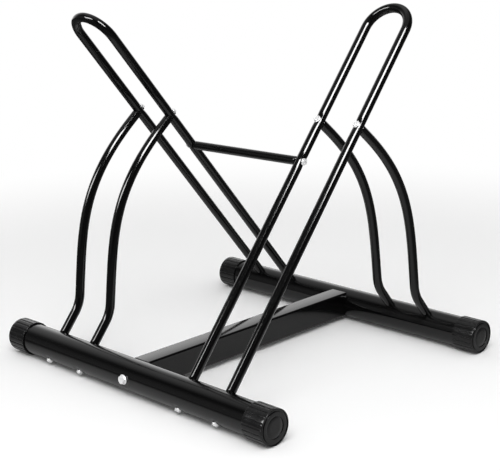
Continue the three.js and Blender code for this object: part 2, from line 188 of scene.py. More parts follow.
class RackBoltSizes(bpy.types.PropertyGroup):
    """Sizes of the flanged hexagon bolts."""

    small_head_width: length("Small head width", "Across the flats of the M6 head", 8)
    small_head_height: length("Small head height", "From the flange's underside to the top", 3.9)
    small_flange: length("Small flange", "Thickness of the M6 flange at the head", 1.3)
    small_shank: length("Small shank", "Radius of the M6 shank", 3)
    bar_head_width: length("Bar head width", "Across the flats of the M8 head", 12)
    bar_head_height: length("Bar head height", "From the flange's underside to the top", 5.2)
    bar_flange: length("Bar flange", "Thickness of the M8 flange at the head", 1.7)
    bar_shank: length("Bar shank", "Radius of the M8 shank", 4)
    foot_reach: length("Foot reach", "Length of the shank of an M6 bolt at a foot", 67)
    thin_reach: length("Thin reach", "Length of the shank of an M6 bolt through a thin tube", 32)
    bar_reach: length("Bar reach", "Length of the shank of an M8 bolt", 62)
    spin_seed: whole_number("Spin seed", "Seed of each bolt's own turn", 4, least=0)


class RackFinish(bpy.types.PropertyGroup):
    """Colours and roughness of the finishes."""

    paint: colour("Paint", "Black gloss coating of the tubes", (0.002, 0.002, 0.0021))
    paint_roughness: share("Paint roughness", "Roughness of the coating", 0.1)
    plastic: colour("Plastic", "Moulded end caps", (0.005, 0.005, 0.0052))
    plastic_roughness: share("Plastic roughness", "Roughness of the end caps", 0.2)
    zinc: colour("Zinc", "Bright plating of the bolts", (0.94, 0.945, 0.95))
    zinc_roughness: share("Zinc roughness", "Roughness of the plating", 0.3)
    draw_lines: level("Draw lines", "Height of the die lines against the orange peel", 0.35)
    steel: colour("Steel", "Plain steel of the hidden plugs", (0.42, 0.42, 0.43))


class RackStage(bpy.types.PropertyGroup):
    """The camera, the floor and the light."""

    camera_place: FloatVectorProperty(
        name="Camera place", description="Where the camera stands",
        default=(1.392626, -1.390890, 0.724079), size=3, subtype="TRANSLATION", unit="LENGTH",
    )
    camera_target: FloatVectorProperty(
        name="Camera target", description="What the camera looks at",
        default=(-0.006112, 0.015160, 0.194271), size=3, subtype="TRANSLATION", unit="LENGTH",
    )
    camera_roll: degrees("Camera roll", "Turn of the camera about its line of sight", -1.2243)
    lens: level("Lens", "Focal length in millimetres for a 36 mm sensor", 90.58)
    floor_radius: length("Floor radius", "Radius of the floor", 12000)
    floor: colour("Floor", "Colour of the floor", (0.8, 0.8, 0.8))
    floor_seen: FloatVectorProperty(
        name="Floor seen", description="Colour of the floor to the camera",
        default=(1.02, 1.02, 1.02), size=3, min=0, subtype="COLOR",
    )
    paper_glow: level("Paper glow", "Level of the white paper in reflections", 1.2)
    wall_glow: level("Wall glow", "Level of the grey walls in reflections", 0.42)
    ambient: level("Ambient", "Level of the soft light all round", 0.6)
    key_glow: level("Key glow", "Brightness of the tall softbox", 42)
    fill_glow: level("Fill glow", "Brightness of the second softbox", 22)
    top_power: level("Top power", "Power of the soft lamp above, in watts", 48)


SETTINGS = {
    "rack_tubes": RackTubeSizes,
    "rack_caps": RackCapSizes,
    "rack_bolts": RackBoltSizes,
    "rack_finish": RackFinish,
    "rack_stage": RackStage,
}


# ---------------- node trees


class Term:
    """A socket's value in a formula. Python's operators on it add Math nodes."""

    def __init__(self, net, socket):
        self.net = net
        self.socket = socket

    def math(self, operation, *others):
        node = self.net.node("ShaderNodeMath", {}, operation=operation)
        for place, term in enumerate((self, *others)):
            self.net.feed(node.inputs[place], term)
        return Term(self.net, node.outputs[0])

    def __add__(self, other):
        return self.math("ADD", other)

    def __sub__(self, other):
        return self.math("SUBTRACT", other)

    def __mul__(self, other):
        return self.math("MULTIPLY", other)

    def __truediv__(self, other):
        return self.math("DIVIDE", other)

    def __rsub__(self, other):
        return self * -1 + other

    __radd__ = __add__
    __rmul__ = __mul__

    def step_up(self, low, high):
        """Smoothly from 0 at low to 1 at high."""
        values = {"Value": self, "From Min": low, "From Max": high}
        node = self.net.node("ShaderNodeMapRange", values, interpolation_type="SMOOTHSTEP")
        return Term(self.net, node.outputs["Result"])


class Net:
    """One node tree: adds its nodes and wires them."""

    def __init__(self, tree):
        self.tree = tree

    def feed(self, socket, value):
        """Links a socket or a term to a socket, or sets it to a plain value."""
        if isinstance(value, Term):
            value = value.socket
        if isinstance(value, bpy.types.NodeSocket):
            self.tree.links.new(value, socket)
        else:
            socket.default_value = value

    def node(self, kind, inputs, captures=(), **settings):
        """A node of that type: settings and captured items are made first, then its sockets are fed."""
        made = self.tree.nodes.new(kind)
        for name, value in settings.items():
            setattr(made, name, value)
        for data_type, name in captures:
            made.capture_items.new(data_type, name)
        for name, value in inputs.items():
            self.feed(made.inputs[name], value)
        return made

    def value(self, kind, output, inputs=None, **settings):
        """One output of a new node, for a formula."""
        return Term(self, self.node(kind, inputs or {}, **settings).outputs[output])

    def vector(self, operation, *terms, scale=None):
        """A Vector Math node's result."""
        node = self.node("ShaderNodeVectorMath", {}, operation=operation)
        for place, term in enumerate(terms):
            self.feed(node.inputs[place], term)
        if scale is not None:
            self.feed(node.inputs["Scale"], scale)
        return Term(self, node.outputs["Value" if operation == "DOT_PRODUCT" else "Vector"])

    def split(self, vector):
        """A vector's three parts."""
        node = self.node("ShaderNodeSeparateXYZ", {"Vector": vector})
        return [Term(self, node.outputs[axis]) for axis in "XYZ"]


SOCKETS = {float: "NodeSocketFloat", int: "NodeSocketInt", tuple: "NodeSocketVector"}


def geometry_tree(name, sizes, others=()):
    """A Geometry Nodes tree with a geometry in and out, named sizes, and other named sockets."""
    tree = bpy.data.node_groups.new(name, "GeometryNodeTree")
    interface = tree.interface
    interface.new_socket("Geometry", in_out="OUTPUT", socket_type="NodeSocketGeometry")
    interface.new_socket("Geometry", in_out="INPUT", socket_type="NodeSocketGeometry")
    for label, default in sizes.items():
        socket = interface.new_socket(label, in_out="INPUT", socket_type=SOCKETS[type(default)])
        socket.default_value = default
    for label, kind in (*others, ("Material", "NodeSocketMaterial")):
        interface.new_socket(label, in_out="INPUT", socket_type=kind)
    net = Net(tree)
    given = net.node("NodeGroupInput", {}).outputs
    return net, given


def close_tree(net, geometry, material):
    """Ends a tree: real geometry, shaded smooth, in its material."""
    real = net.node("GeometryNodeRealizeInstances", {"Geometry": geometry})
    smooth = net.node("GeometryNodeSetShadeSmooth", {"Geometry": real.outputs[0]})
    dressed = net.node("GeometryNodeSetMaterial", {"Geometry": smooth.outputs[0], "Material": material})
    net.node("NodeGroupOutput", {"Geometry": dressed.outputs[0]})
    return net.tree


def grown(host, tree, values):
    """The plain mesh that a Geometry Nodes tree makes from a host object, which is then removed."""
    modifier = host.modifiers.new(tree.name, "NODES")
    modifier.node_group = tree
    for item in tree.interface.items_tree:
        if item.in_out == "INPUT" and item.name in values:
            modifier[item.identifier] = values[item.name]
    bpy.context.view_layer.update()
    evaluated = host.evaluated_get(bpy.context.evaluated_depsgraph_get())
    mesh = bpy.data.meshes.new_from_object(evaluated)
    bpy.data.objects.remove(host)
    return mesh


# ---------------- meshes and pieces


def linked(name, data):
    """A new object in the scene."""
    made = bpy.data.objects.new(name, data)
    bpy.context.scene.collection.objects.link(made)
    return made


def mesh_of(name, points, faces):
    """A mesh from points and faces."""
    mesh = bpy.data.meshes.new(name)
    mesh.from_pydata([tuple(point) for point in points], [], faces)
    mesh.update()
    return mesh


def point_cloud(name, points, aims=None):
    """An object of loose points, each with the direction that it aims in."""
    mesh = mesh_of(name, points, [])
    if aims:
        attribute = mesh.attributes.new("aim", "FLOAT_VECTOR", "POINT")
        for item, aim in zip(attribute.data, aims):
            item.vector = aim
    return linked(name, mesh)


def skinned(name, rings):
    """A skin over rings of as many points each. A ring of one point closes the skin."""
    points, rows = [], []
    sides = max(len(ring) for ring in rings)
    for ring in rings:
        rows.append([len(points) + i % len(ring) for i in range(sides)])
        points.extend(ring)
    faces = []
    for low, high in zip(rows, rows[1:]):
        for i in range(sides):
            j = (i + 1) % sides
            faces.append(list(dict.fromkeys((low[i], low[j], high[j], high[i]))))
    return mesh_of(name, points, faces)


def ring_about_z(radius, along, angles):
    """A ring of points about Z. A radius of 0 is one point on the axis."""
    return [(radius * math.cos(a), radius * math.sin(a), along) for a in (angles if radius else angles[:1])]


def turned(name, profile, angles):
    """A profile of (radius, along) pairs turned about Z, anticlockwise round the solid's section."""
    return skinned(name, [ring_about_z(radius, along, angles) for radius, along in profile])


def even_angles(count):
    """That many angles, evenly round a circle."""
    return [2 * math.pi * i / count for i in range(count)]


def arc(centre, radius, start, end, steps):
    """Points of an arc in a profile, angles in degrees."""
    points = []
    for i in range(steps + 1):
        angle = math.radians(start + (end - start) * i / steps)
        points.append((centre[0] + radius * math.cos(angle), centre[1] + radius * math.sin(angle)))
    return points


def finish_piece(name, mesh, turn, material, nodes, sharp=None):
    """Puts a mesh in place as a piece of the rack that stands for its CAD nodes."""
    mesh.transform(turn)
    mesh.name = name
    mesh.materials.clear()
    mesh.materials.append(material)
    for polygon in mesh.polygons:
        polygon.use_smooth = True
    if sharp is not None:
        mesh.set_sharp_from_angle(angle=sharp)
    piece = linked(name, mesh)
    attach(piece, "root")
    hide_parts(*nodes)
    return piece


# ---------------- lines of the rack


def leg_directions(tubes):
    """Up along a front leg, and square to it towards the back and down."""
    lean = tubes.leg_lean
    return Vector((0, math.sin(lean), math.cos(lean))), Vector((0, math.cos(lean), -math.sin(lean)))


def on_front_line(tubes, x, along):
    """A point on the axis line of a front leg, measured from its foot."""
    up, back = leg_directions(tubes)
    point = FRONT_AXIS - back * tubes.leg_offset + up * along
    return Vector((x, point.y, point.z))


def on_rear_line(tubes, x, along):
    """The matching point at the rear base tube."""
    return HALF_TURN @ on_front_line(tubes, -x, along)


def crossbar_line(tubes):
    """The crossbar's front end on its leg's axis, and its direction towards the other hoop."""
    start = on_front_line(tubes, INNER_X, tubes.crossbar_station)
    return start, (HALF_TURN @ start - start).normalized()


def foot_seats(tubes):
    """Where the flanges of a half's foot bolts sit on the base tubes, and where the bolts point."""
    up, _ = leg_directions(tubes)
    rear_up = HALF_TURN.to_3x3() @ up
    below = BASE_RADIUS - tubes.base_dent + tubes.gap
    seats = {}
    for side, x in (("inner", INNER_X), ("outer", OUTER_X)):
        seats[f"{side}_leg_foot"] = (on_front_line(tubes, x, -below), up)
        seats[f"{side}_support_foot"] = (on_rear_line(tubes, x, -below), rear_up)
    return seats


END_CLEAR = 2 * MM  # from what a tube's end sits on to the first ring that stays square


class TubeLine:
    """The centre line of a bent tube, drawn run by run."""

    STEP = 4 * MM

    def __init__(self, start, direction):
        self.points = [start.copy()]
        self.direction = direction.normalized()

    def straight(self, run, clear=0.0):
        """Straight on; the first ring after the start stays clear of a saddle-cut end."""
        start = self.points[-1]
        count = max(1, round((run - clear) / self.STEP))
        for i in range(0 if clear else 1, count + 1):
            self.points.append(start + self.direction * (clear + (run - clear) * i / count))
        return self

    def straight_to_end(self, run, clear):
        """Straight on to the tube's end, whose last ring alone lies within the clear length."""
        self.straight(run - clear)
        self.points.append(self.points[-1] + self.direction * clear)
        return self

    def bend(self, radius, axis, angle):
        """A round bend about the axis, with steps half as long as on a straight run."""
        inward = axis.cross(self.direction)
        centre = self.points[-1] + inward * radius
        count = max(6, math.ceil(radius * angle / (self.STEP / 2)))
        for i in range(1, count + 1):
            turn = Matrix.Rotation(angle * i / count, 3, axis)
            self.points.append(centre - turn @ inward * radius)
        self.direction = Matrix.Rotation(angle, 3, axis) @ self.direction
        return self

    def sweep(self, start_pull, end_pull, end, end_direction):
        """A long curve to a point, leaving and arriving in the given directions."""
        start = self.points[-1]
        span = (end - start).length
        first_handle = start + self.direction * start_pull * span
        last_handle = end - end_direction * end_pull * span
        count = math.ceil(1.1 * span / self.STEP)
        for i in range(1, count + 1):
            t = i / count
            of_ends = start * (1 - t) ** 3 + end * t ** 3
            of_handles = (first_handle * (1 - t) + last_handle * t) * 3 * (1 - t) * t
            self.points.append(of_ends + of_handles)
        self.direction = end_direction.normalized()
        return self

    def as_object(self, name):
        """The line as a curve object."""
        curve = bpy.data.curves.new(name, "CURVE")
        curve.dimensions = "3D"
        spline = curve.splines.new("POLY")
        spline.points.add(len(self.points) - 1)
        for item, point in zip(spline.points, self.points):
            item.co = (*point, 1)
        return linked(name, curve)


# ---------------- the bent tube tree


def saddle_shift(net, along, point, axis, radius, side):
    """How far a tube's end point moves along its tube to lie on a round piece. side is 1 where the
    tube leaves the round piece and -1 where it comes to it."""
    position = net.value("GeometryNodeInputPosition", "Position")

    def square_to_axis(vector):
        on_axis = net.vector("SCALE", axis, scale=net.vector("DOT_PRODUCT", vector, axis))
        return net.vector("SUBTRACT", vector, on_axis)

    across = square_to_axis(net.vector("SUBTRACT", position, point))
    run = square_to_axis(along)
    a = net.vector("DOT_PRODUCT", run, run)
    b = net.vector("DOT_PRODUCT", across, run)
    c = net.vector("DOT_PRODUCT", across, across) - radius * radius
    root = (b * b - a * c).math("SQRT")
    return (root * side - b) / a


def bent_tube_tree():
    """A tube along a path, with saddle-cut ends and the dents that bolt heads press into it."""
    sizes = {
        "Radius": LEG_RADIUS, "Sides": 48,
        "Start Point": (0.0, 0.0, 0.0), "Start Axis": (1.0, 0.0, 0.0), "Start Radius": BASE_RADIUS,
        "End Point": (0.0, 0.0, 0.0), "End Axis": (1.0, 0.0, 0.0), "End Radius": BASE_RADIUS,
        "Dent Depth": 0.75 * MM, "Dent Seat": 4 * MM, "Dent Reach": 13 * MM,
    }
    net, given = geometry_tree("Bent tube", sizes, [("Dents", "NodeSocketObject")])
    captured = net.node(
        "GeometryNodeCaptureAttribute",
        {
            "Geometry": given["Geometry"],
            "Along": net.value("GeometryNodeInputTangent", "Tangent"),
            "Centre": net.value("GeometryNodeInputPosition", "Position"),
            "Share": net.value("GeometryNodeSplineParameter", "Factor"),
        },
        captures=(("VECTOR", "Along"), ("VECTOR", "Centre"), ("FLOAT", "Share")),
        domain="POINT",
    )
    section = net.node(
        "GeometryNodeCurvePrimitiveCircle",
        {"Resolution": given["Sides"], "Radius": given["Radius"]},
        mode="RADIUS",
    )
    swept = net.node(
        "GeometryNodeCurveToMesh",
        {"Curve": captured.outputs["Geometry"], "Profile Curve": section.outputs[0]},
    )
    along = Term(net, captured.outputs["Along"])
    place = Term(net, captured.outputs["Share"])
    geometry = swept.outputs[0]
    hair = 1e-6
    ends = (("Start", place.math("LESS_THAN", hair), 1), ("End", place.math("GREATER_THAN", 1 - hair), -1))
    for end, chosen, side in ends:
        radius = Term(net, given[f"{end} Radius"])
        shift = saddle_shift(net, along, given[f"{end} Point"], given[f"{end} Axis"], radius, side)
        moved = net.node(
            "GeometryNodeSetPosition",
            {"Geometry": geometry, "Selection": chosen, "Offset": net.vector("SCALE", along, scale=shift)},
        )
        geometry = moved.outputs[0]

    seats = net.node("GeometryNodeObjectInfo", {"Object": given["Dents"]}, transform_space="ORIGINAL")
    near = net.node("GeometryNodeProximity", {"Geometry": seats.outputs["Geometry"]}, target_element="POINTS")
    closeness = 1 - Term(net, near.outputs["Distance"]).step_up(given["Dent Seat"], given["Dent Reach"])
    depth = closeness * given["Dent Depth"] * near.outputs["Is Valid"]
    position = net.value("GeometryNodeInputPosition", "Position")
    inward = net.vector("NORMALIZE", net.vector("SUBTRACT", captured.outputs["Centre"], position))
    dented = net.node(
        "GeometryNodeSetPosition", {"Geometry": geometry, "Offset": net.vector("SCALE", inward, scale=depth)},
    )
    return close_tree(net, dented.outputs[0], given["Material"])


def plain_end(point):
    """The square-cut end of a tube along X: it sits on a round piece of no radius, which cuts nothing."""
    return point, Z, 0.0


def bent_tube(name, line, radius, start, end, seats=(), sides=None, dent_depth=None):
    """The outer skin of a bent tube. start and end are the (point, axis, radius) of what it sits on."""
    tubes = bpy.context.scene.rack_tubes
    tree = bpy.data.node_groups.get("Bent tube") or bent_tube_tree()
    dents = point_cloud(f"{name}_seats", seats)
    values = {
        "Radius": radius, "Sides": sides or tubes.sides,
        "Start Point": tuple(start[0]), "Start Axis": tuple(start[1]), "Start Radius": start[2],
        "End Point": tuple(end[0]), "End Axis": tuple(end[1]), "End Radius": end[2],
        "Dents": dents, "Dent Depth": dent_depth or tubes.dent_depth,
        "Dent Seat": tubes.dent_seat, "Dent Reach": tubes.dent_reach,
    }
    mesh = grown(line.as_object(name), tree, values)
    bpy.data.objects.remove(dents)
    return mesh


# ---------------- finishes


def new_material(name):
    """An empty material, its net, and the object's own coordinates."""
    material = bpy.data.materials.new(name)
    material.use_nodes = True
    material.node_tree.nodes.clear()
    net = Net(material.node_tree)
    return material, net, net.node("ShaderNodeTexCoord", {}).outputs["Object"]


def noise(net, coordinates, scale, detail=3, roughness=0.5):
    """A noise between 0 and 1; its spots measure about one over the scale, in metres."""
    values = {"Vector": coordinates, "Scale": scale, "Detail": detail, "Roughness": roughness}
    return net.value("ShaderNodeTexNoise", "Fac", values)


def mixed(net, low, high, amount):
    """A colour between two colours."""
    node = net.node("ShaderNodeMix", {}, data_type="RGBA")
    colour_inputs = [socket for socket in node.inputs if socket.type == "RGBA"]
    net.feed(node.inputs["Factor"], amount)
    net.feed(colour_inputs[0], (*low, 1) if isinstance(low, tuple) else low)
    net.feed(colour_inputs[1], (*high, 1) if isinstance(high, tuple) else high)
    return [socket for socket in node.outputs if socket.type == "RGBA"][0]


def surface(net, inputs):
    """Ends a material with one plain shader."""
    shader = net.node("ShaderNodeBsdfPrincipled", inputs)
    net.node("ShaderNodeOutputMaterial", {"Surface": shader.outputs[0]})


def scaled(rgb, factor):
    """A lighter or darker colour."""
    return tuple(min(1, channel * factor) for channel in rgb)


def gloss_coating(name="Gloss black coating", drawn=False):
    """Black powder coating: a faint orange peel, slow changes of gloss and a few specks of dust. A
    drawn tube along X also shows the faint lengthwise lines of its die."""
    finish = bpy.context.scene.rack_finish
    material, net, place = new_material(name)
    peel = noise(net, place, 70, 2)
    if drawn:
        lines = noise(net, net.vector("MULTIPLY", place, (6, 620, 620)), 1, 2)
        peel = peel + (lines - 0.5) * finish.draw_lines
    flow = noise(net, place, 26, 2)
    dust = noise(net, place, 1500, 0).step_up(0.74, 0.8) * noise(net, place, 40, 1).step_up(0.45, 0.7)
    rough = finish.paint_roughness + (flow - 0.5) * 0.03 + dust * 0.2
    bump = net.node("ShaderNodeBump", {"Strength": 0.1, "Distance": 0.3 * MM, "Height": peel})
    paint = tuple(finish.paint)
    surface(net, {
        "Base Color": mixed(net, paint, scaled(paint, 6), dust * 0.6),
        "Roughness": rough,
        "IOR": 1.4,
        "Normal": bump.outputs[0],
    })
    return material


def moulded_plastic():
    """Satin black plastic with a fine spark-eroded grain and slightly rubbed, paler patches."""
    finish = bpy.context.scene.rack_finish
    material, net, place = new_material("Satin black plastic")
    grain = noise(net, place, 2600, 2, 0.6)
    rub = noise(net, place, 60, 3).step_up(0.42, 0.72)
    bump = net.node("ShaderNodeBump", {"Strength": 0.25, "Distance": 0.05 * MM, "Height": grain})
    plastic = tuple(finish.plastic)
    surface(net, {
        "Base Color": mixed(net, plastic, scaled(plastic, 1.7), rub * 0.6),
        "Roughness": finish.plastic_roughness + rub * 0.08,
        "IOR": 1.35,
        "Normal": bump.outputs[0],
    })
    return material


def bright_zinc():
    """Bright zinc plating: a clouded gloss with fine marks of the forming tool."""
    finish = bpy.context.scene.rack_finish
    material, net, place = new_material("Bright zinc")
    cloud = noise(net, place, 420, 3)
    marks = noise(net, place, 3800, 2)
    bump = net.node("ShaderNodeBump", {"Strength": 0.2, "Distance": 0.03 * MM, "Height": marks})
    zinc = tuple(finish.zinc)
    surface(net, {
        "Base Color": mixed(net, scaled(zinc, 0.86), zinc, cloud),
        "Metallic": 0.25,
        "Roughness": finish.zinc_roughness + (cloud - 0.5) * 0.16,
        "Normal": bump.outputs[0],
    })
    return material


def plain_steel():
    """Machined steel with faint oil clouds, for the plugs inside the tubes."""
    finish = bpy.context.scene.rack_finish
    material, net, place = new_material("Plain steel")
    cloud = noise(net, place, 300, 3)
    steel = tuple(finish.steel)
    surface(net, {
        "Base Color": mixed(net, scaled(steel, 0.8), steel, cloud),
        "Metallic": 1.0,
        "Roughness": 0.36 + cloud * 0.16,
    })
    return material


def drawn_coating():
    """The gloss coating on the drawn base tubes."""
    return gloss_coating("Gloss black drawn tube", drawn=True)


FINISHES = {
    "Gloss black coating": gloss_coating,
    "Gloss black drawn tube": drawn_coating,
    "Satin black plastic": moulded_plastic,
    "Bright zinc": bright_zinc,
    "Plain steel": plain_steel,
}


def finish_named(name):
    """The material of a finish, made when it is first asked for."""
    return bpy.data.materials.get(name) or FINISHES[name]()


# ---------------- operators: tubes


def tube_piece(node, skin, turn, thickness, finish="Gloss black coating", sharp=None):
    """The finished piece of a tube's CAD node: its skin gets a wall inwards, with closed rims."""
    piece = finish_piece(f"{node}_fine", skin, turn, finish_named(finish), [node], sharp)
    wall = piece.modifiers.new("Wall", "SOLIDIFY")
    wall.thickness = thickness
    wall.offset = -1
    wall.use_even_offset = True


class RACK_OT_base_tubes(bpy.types.Operator):
    """Make the two thick base tubes"""

    bl_idname = "rack.base_tubes"
    bl_label = "Base tubes"

    def execute(self, context):
        tubes = context.scene.rack_tubes
        seats = [FRONT_AXIS - Y * BASE_RADIUS]
        for joint, (seat, _) in foot_seats(tubes).items():
            # A half's supports stand on the other half's base tube.
            seats.append(seat if joint.endswith("leg_foot") else HALF_TURN @ seat)
        half_length = BASE_LENGTH / 2
        fine_step = 1.5 * MM
        line = TubeLine(FRONT_AXIS - X * half_length, X)
        while line.points[-1].x < half_length:
            x = line.points[-1].x
            near_seat = min(abs(x - seat.x) for seat in seats) < tubes.dent_reach
            step = fine_step if near_seat else line.STEP
            line.points.append(FRONT_AXIS + X * min(x + step, half_length))
        ends = plain_end(line.points[0]), plain_end(line.points[-1])
        for half, turn in HALVES:
            skin = bent_tube("base_tube", line, BASE_RADIUS, *ends, seats, tubes.base_sides, tubes.base_dent)
            tube_piece(f"{half}_base_tube", skin, turn, tubes.base_wall, "Gloss black drawn tube")
        return {"FINISHED"}


class RACK_OT_hoops(bpy.types.Operator):
    """Make the two wheel hoops, with the dents under their bolt heads"""

    bl_idname = "rack.hoops"
    bl_label = "Wheel hoops"

    def execute(self, context):
        tubes = context.scene.rack_tubes
        up, back = leg_directions(tubes)
        clear = BASE_RADIUS + END_CLEAR
        line = TubeLine(on_front_line(tubes, INNER_X, 0), up)
        line.straight(tubes.leg_length, clear)
        line.bend((OUTER_X - INNER_X) / 2, back, math.pi)
        line.straight_to_end(tubes.leg_length, clear)
        crossbar_start, inward = crossbar_line(tubes)
        joints = [on_front_line(tubes, x, tubes.support_station) for x in (INNER_X, OUTER_X)]
        seats = [*(joint - back * LEG_RADIUS for joint in joints), crossbar_start - inward * LEG_RADIUS]
        base = (FRONT_AXIS, X, BASE_RADIUS + tubes.gap)
        for half, turn in HALVES:
            skin = bent_tube("hoop", line, LEG_RADIUS, base, base, seats)
            tube_piece(f"{half}_hoop", skin, turn, tubes.thin_wall)
        return {"FINISHED"}


class RACK_OT_supports(bpy.types.Operator):
    """Make the four bent supports"""

    bl_idname = "rack.supports"
    bl_label = "Supports"

    def execute(self, context):
        tubes = context.scene.rack_tubes
        up, back = leg_directions(tubes)
        lower_run = Vector((0, math.sin(tubes.support_lean), -math.cos(tubes.support_lean)))
        bend_angle = tubes.leg_lean - tubes.support_lean
        corner_to_bend = tubes.support_bend_radius * math.tan(bend_angle / 2)
        foot_run = BASE_RADIUS + tubes.support_foot_straight
        for half, turn in HALVES:
            for side, x in (("inner", INNER_X), ("outer", OUTER_X)):
                top = on_front_line(tubes, x, tubes.support_station)
                corner = on_rear_line(tubes, x, foot_run + corner_to_bend)
                bend_start = corner - lower_run * corner_to_bend
                line = TubeLine(top, back)
                line.straight(tubes.support_top_straight, LEG_RADIUS + END_CLEAR)
                line.sweep(tubes.support_top_pull, tubes.support_foot_pull, bend_start, lower_run)
                line.bend(tubes.support_bend_radius, X, bend_angle)
                line.straight_to_end(foot_run, BASE_RADIUS + END_CLEAR)
                on_leg = (top, up, LEG_RADIUS + tubes.gap)
                on_base = (REAR_AXIS, X, BASE_RADIUS + tubes.gap)
                skin = bent_tube("support", line, LEG_RADIUS, on_leg, on_base)
                tube_piece(f"{half}_{side}_support", skin, turn, tubes.thin_wall)
        return {"FINISHED"}


class RACK_OT_crossbar(bpy.types.Operator):
    """Make the thin crossbar between the hoops"""

    bl_idname = "rack.crossbar"
    bl_label = "Crossbar"

    def execute(self, context):
        tubes = context.scene.rack_tubes
        up, _ = leg_directions(tubes)
        start, inward = crossbar_line(tubes)
        end = HALF_TURN @ start
        clear = LEG_RADIUS + END_CLEAR
        line = TubeLine(start, inward)
        line.straight((end - start).length - clear, clear)
        line.points.append(end)
        seat = LEG_RADIUS + tubes.gap
        ends = (start, up, seat), (end, HALF_TURN.to_3x3() @ up, seat)
        skin = bent_tube("crossbar", line, CROSSBAR_RADIUS, *ends)
        tube_piece("crossbar", skin, Matrix.Identity(4), tubes.thin_wall)
        return {"FINISHED"}


class RACK_OT_connecting_bar(bpy.types.Operator):
    """Make the rectangular bar between the base tubes"""

    bl_idname = "rack.connecting_bar"
    bl_label = "Connecting bar"

    def execute(self, context):
        tubes = context.scene.rack_tubes
        section = []
        corner = tubes.bar_corner
        for quarter, (sx, sz) in enumerate(((1, 1), (-1, 1), (-1, -1), (1, -1))):
            centre = (sx * (BAR_WIDTH / 2 - corner), BAR_CENTRE.z + sz * (BAR_HEIGHT / 2 - corner))
            section += arc(centre, corner, 90 * quarter, 90 * quarter + 90, 6)
        seat = BASE_RADIUS + tubes.gap
        ends = [REAR_AXIS.y - math.sqrt(seat ** 2 - (z - REAR_AXIS.z) ** 2) for _, z in section]
        # A ring close to each end keeps the shading of the flat faces even up to the cut.
        near_end = 0.992
        places = (1, near_end, *(i / 6 for i in range(5, -6, -1)), -near_end, -1)
        rings = [[(x, end * place, z) for (x, z), end in zip(section, ends)] for place in places]
        skin = skinned("bar", rings)
        tube_piece("connecting_bar", skin, Matrix.Identity(4), tubes.bar_wall, sharp=math.radians(40))
        return {"FINISHED"}


# ---------------- operators: caps and bolts


def rib_tree():
    """Cuts the grooves between the ribs into a turned cap blank whose axis is Z."""
    sizes = {
        "Ribs": 20, "Radius": CAP_RADIUS, "Groove Width": 2.4 * MM, "Groove Depth": 0.8 * MM,
        "End": 0.04, "Run-out": 0.5 * MM,
    }
    net, given = geometry_tree("Ribs", sizes)
    position = net.value("GeometryNodeInputPosition", "Position")
    x, y, z = net.split(position)
    angle = y.math("ARCTAN2", x)
    radius = (x * x + y * y).math("SQRT")
    pitches = angle * given["Ribs"] / (2 * math.pi)
    # A rib's middle lies at angle 0, so a groove's middle lies half a pitch on.
    from_groove = (pitches.math("FRACT") - 0.5).math("ABSOLUTE")
    arc_length = from_groove * (2 * math.pi) * given["Radius"] / given["Ribs"]
    half_width = Term(net, given["Groove Width"]) * 0.5
    flat_floor = 0.35
    depth = (1 - arc_length.step_up(half_width * flat_floor, half_width)) * given["Groove Depth"]
    # Only the outer skin is cut, and not the bore.
    cap_radius = Term(net, given["Radius"])
    outside = radius.step_up(cap_radius - 0.8 * MM, cap_radius - 0.3 * MM)
    before_end = 1 - z.step_up(Term(net, given["End"]) - given["Run-out"], given["End"])
    outward = net.vector("MULTIPLY", position, (1.0, 1.0, 0.0))
    cut = net.vector("SCALE", net.vector("NORMALIZE", outward), scale=depth * outside * before_end * -1)
    shaped = net.node("GeometryNodeSetPosition", {"Geometry": given["Geometry"], "Offset": cut})
    return close_tree(net, shaped.outputs[0], given["Material"])


def rib_angles(count, land_steps, groove_steps, groove_share):
    """Angles round a cap, closer together across each groove."""
    pitch = 2 * math.pi / count
    shares = [(i / land_steps - 0.5) * (1 - groove_share) for i in range(land_steps)]
    shares += [0.5 * (1 - groove_share) + groove_share * i / groove_steps for i in range(groove_steps)]
    return [pitch * (rib + part) for rib in range(count) for part in shares]


